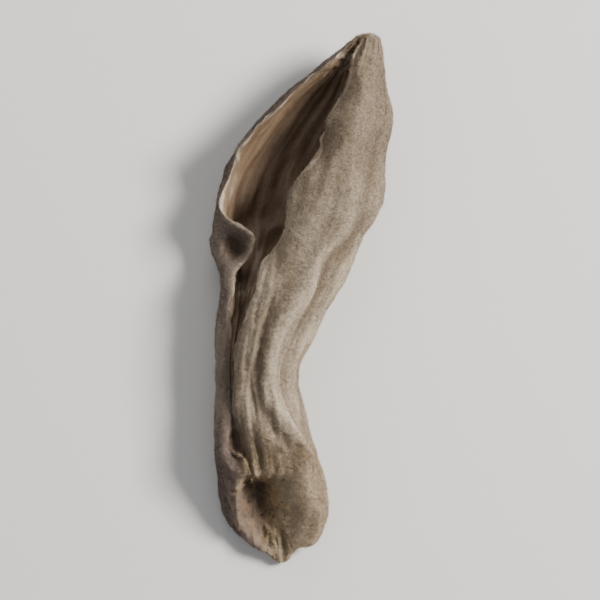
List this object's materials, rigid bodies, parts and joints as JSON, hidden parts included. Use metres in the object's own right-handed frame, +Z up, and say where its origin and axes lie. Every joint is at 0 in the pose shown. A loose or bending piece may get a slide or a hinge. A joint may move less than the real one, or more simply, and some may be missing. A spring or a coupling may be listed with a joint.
{
  "type": "wood ear mushroom",
  "caption": "Small dried wood ear fruit body, folded lengthwise into a pleated trough with a thin wavy margin, pinched to a stalk and a torn foot. Lies on its fold.",
  "frame": {"origin": "under the middle of the ear's box, on the surface it rests on", "axes": "+Y along the ear from its foot to its tip, +Z up out of the open side of the fold, +X to its right"},
  "size_m": [0.0142, 0.0412, 0.0081],
  "materials": {
    "dried_flesh": "matte"
  },
  "bodies": {
    "root": {"wood_ear": "dried_flesh"}
  },
  "joints": []
}
